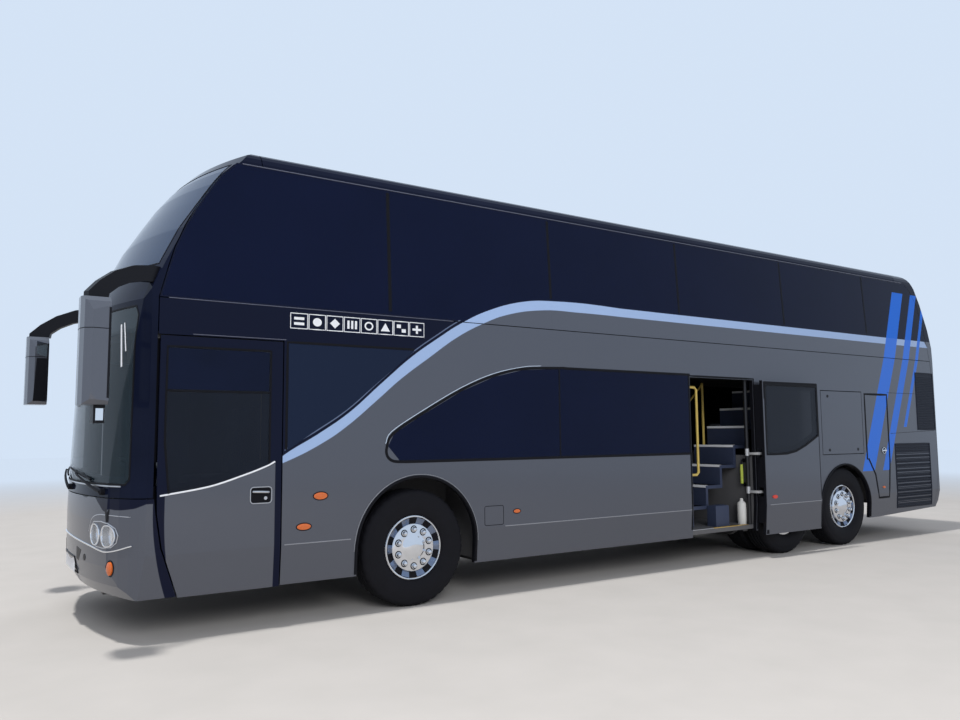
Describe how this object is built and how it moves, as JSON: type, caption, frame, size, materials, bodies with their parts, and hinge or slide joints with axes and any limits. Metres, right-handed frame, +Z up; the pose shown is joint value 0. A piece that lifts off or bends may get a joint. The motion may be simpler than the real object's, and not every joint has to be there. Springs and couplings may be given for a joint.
{
  "type": "airport passenger bus, double-deck, three axles",
  "caption": "Tall dark airport coach with a curved nose, wrap-round glass, a side door that swings out and back, chrome wheels and mirrors hung ahead of the screen.",
  "frame": {"origin": "middle of the whole bus's box, on the road", "axes": "+X towards the nose, +Y to the bus's left (the door side), +Z up"},
  "size_m": [12.29, 3.12, 4.002],
  "materials": {
    "body_paint": "metallic grey, clear coated",
    "gloss_black": "gloss",
    "tinted_glass": "dark tint, gloss",
    "frame_black": "satin",
    "forged_steel": "oiled",
    "bright_steel": "polished",
    "wheel_chrome": "polished",
    "tyre_rubber": "matt",
    "matt_black": "satin",
    "mirror_shell": "gloss",
    "lamp_lens": "clear",
    "yellow_rail": "gloss",
    "step_grey": "ribbed",
    "deck_grey": "matt",
    "seat_fabric": "woven",
    "engine_iron": "matt"
  },
  "bodies": {
    "root": {"chassis_frame": "frame_black", "decks": "deck_grey", "staircase": "step_grey", "left_side": "body_paint", "right_side": "body_paint", "upper_sides": "gloss_black", "roof": "gloss_black", "front_panel": "body_paint", "front_mask": "gloss_black", "screens": "tinted_glass", "side_glass": "tinted_glass", "rear_panel": "body_paint", "lamps": "lamp_lens", "mirror_arms": "matt_black", "mirror_heads": "mirror_shell", "seats": "seat_fabric", "dashboard": "matt_black", "grab_rails": "yellow_rail", "engine_block": "engine_iron", "front_axle": "frame_black", "rear_axles": "frame_black"},
    "knuckle_left": {"knuckle_left": "forged_steel"},
    "knuckle_right": {"knuckle_right": "forged_steel"},
    "tie_rod": {"tie_rod": "forged_steel"},
    "wheel_front_left": {"tyre_front_left": "tyre_rubber", "rim_front_left": "wheel_chrome"},
    "wheel_front_right": {"tyre_front_right": "tyre_rubber", "rim_front_right": "wheel_chrome"},
    "wheels_drive_left": {"tyres_drive_left": "tyre_rubber", "rims_drive_left": "wheel_chrome"},
    "wheels_drive_right": {"tyres_drive_right": "tyre_rubber", "rims_drive_right": "wheel_chrome"},
    "wheel_tag_left": {"tyre_tag_left": "tyre_rubber", "rim_tag_left": "wheel_chrome"},
    "wheel_tag_right": {"tyre_tag_right": "tyre_rubber", "rim_tag_right": "wheel_chrome"},
    "front_door_arms": {"front_door_arms": "bright_steel"},
    "front_door": {"front_door": "body_paint", "front_door_glass": "tinted_glass"},
    "middle_door_arms": {"middle_door_arms": "bright_steel"},
    "middle_door": {"middle_door": "body_paint", "middle_door_glass": "tinted_glass"},
    "luggage_flap": {"luggage_flap": "body_paint"},
    "service_door": {"service_door": "body_paint"},
    "engine_hatch": {"engine_hatch": "body_paint"}
  },
  "joints": [
    {"name": "steer_left", "type": "hinge", "parent": "root", "child": "knuckle_left", "pos_m": [3.185, 0.93, 0.52], "axis": [0, 0, -1], "range_deg": [-40, 40]},
    {"name": "steer_right", "type": "hinge", "parent": "root", "child": "knuckle_right", "pos_m": [3.185, -0.93, 0.52], "axis": [0, 0, -1], "range_deg": [-40, 40]},
    {"name": "tie_rod_pin", "type": "hinge", "parent": "knuckle_left", "child": "tie_rod", "pos_m": [2.965, 0.93, 0.42], "axis": [0, 0, -1], "range_deg": [-40, 40]},
    {"name": "front_left_spin", "type": "hinge", "parent": "knuckle_left", "child": "wheel_front_left", "pos_m": [3.185, 1.1, 0.52], "axis": [0, 1, 0], "continuous": true},
    {"name": "front_right_spin", "type": "hinge", "parent": "knuckle_right", "child": "wheel_front_right", "pos_m": [3.185, -1.1, 0.52], "axis": [0, 1, 0], "continuous": true},
    {"name": "drive_left_spin", "type": "hinge", "parent": "root", "child": "wheels_drive_left", "pos_m": [-2.215, 1.1, 0.52], "axis": [0, 1, 0], "continuous": true},
    {"name": "drive_right_spin", "type": "hinge", "parent": "root", "child": "wheels_drive_right", "pos_m": [-2.215, -1.1, 0.52], "axis": [0, 1, 0], "continuous": true},
    {"name": "tag_left_spin", "type": "hinge", "parent": "root", "child": "wheel_tag_left", "pos_m": [-3.515, 1.1, 0.52], "axis": [0, 1, 0], "continuous": true},
    {"name": "tag_right_spin", "type": "hinge", "parent": "root", "child": "wheel_tag_right", "pos_m": [-3.515, -1.1, 0.52], "axis": [0, 1, 0], "continuous": true},
    {"name": "front_door_swing", "type": "hinge", "parent": "root", "child": "front_door_arms", "pos_m": [4.495, 1.175, 0.6], "axis": [0, 0, 1], "range_deg": [0, 164.2]},
    {"name": "front_door_level", "type": "hinge", "parent": "front_door_arms", "child": "front_door", "pos_m": [4.96584, 1.17911, 0.6], "axis": [0, 0, 1], "range_deg": [-164.2, 0]},
    {"name": "middle_door_swing", "type": "hinge", "parent": "root", "child": "middle_door_arms", "pos_m": [-1.595, 1.175, 0.8], "axis": [0, 0, 1], "range_deg": [-164.2, 0]},
    {"name": "middle_door_level", "type": "hinge", "parent": "middle_door_arms", "child": "middle_door", "pos_m": [-2.15227, 1.32745, 0.8], "axis": [0, 0, 1], "range_deg": [0, 164.2]},
    {"name": "luggage_flap_lift", "type": "hinge", "parent": "root", "child": "luggage_flap", "pos_m": [-3.525, 1.265, 2.08], "axis": [1, 0, 0], "range_deg": [0, 95]},
    {"name": "service_door_swing", "type": "hinge", "parent": "root", "child": "service_door", "pos_m": [-4.095, 1.265, 1.6], "axis": [0, 0, -1], "range_deg": [0, 90]},
    {"name": "engine_hatch_lift", "type": "hinge", "parent": "root", "child": "engine_hatch", "pos_m": [-6.123, 0, 1.68], "axis": [0, 1, 0], "range_deg": [0, 85]}
  ],
  "couplings": [
    {"joint": "steer_right", "follows": "steer_left", "ratio": 1},
    {"joint": "tie_rod_pin", "follows": "steer_left", "ratio": -1},
    {"joint": "front_door_level", "follows": "front_door_swing", "ratio": -1},
    {"joint": "middle_door_level", "follows": "middle_door_swing", "ratio": -1}
  ]
}
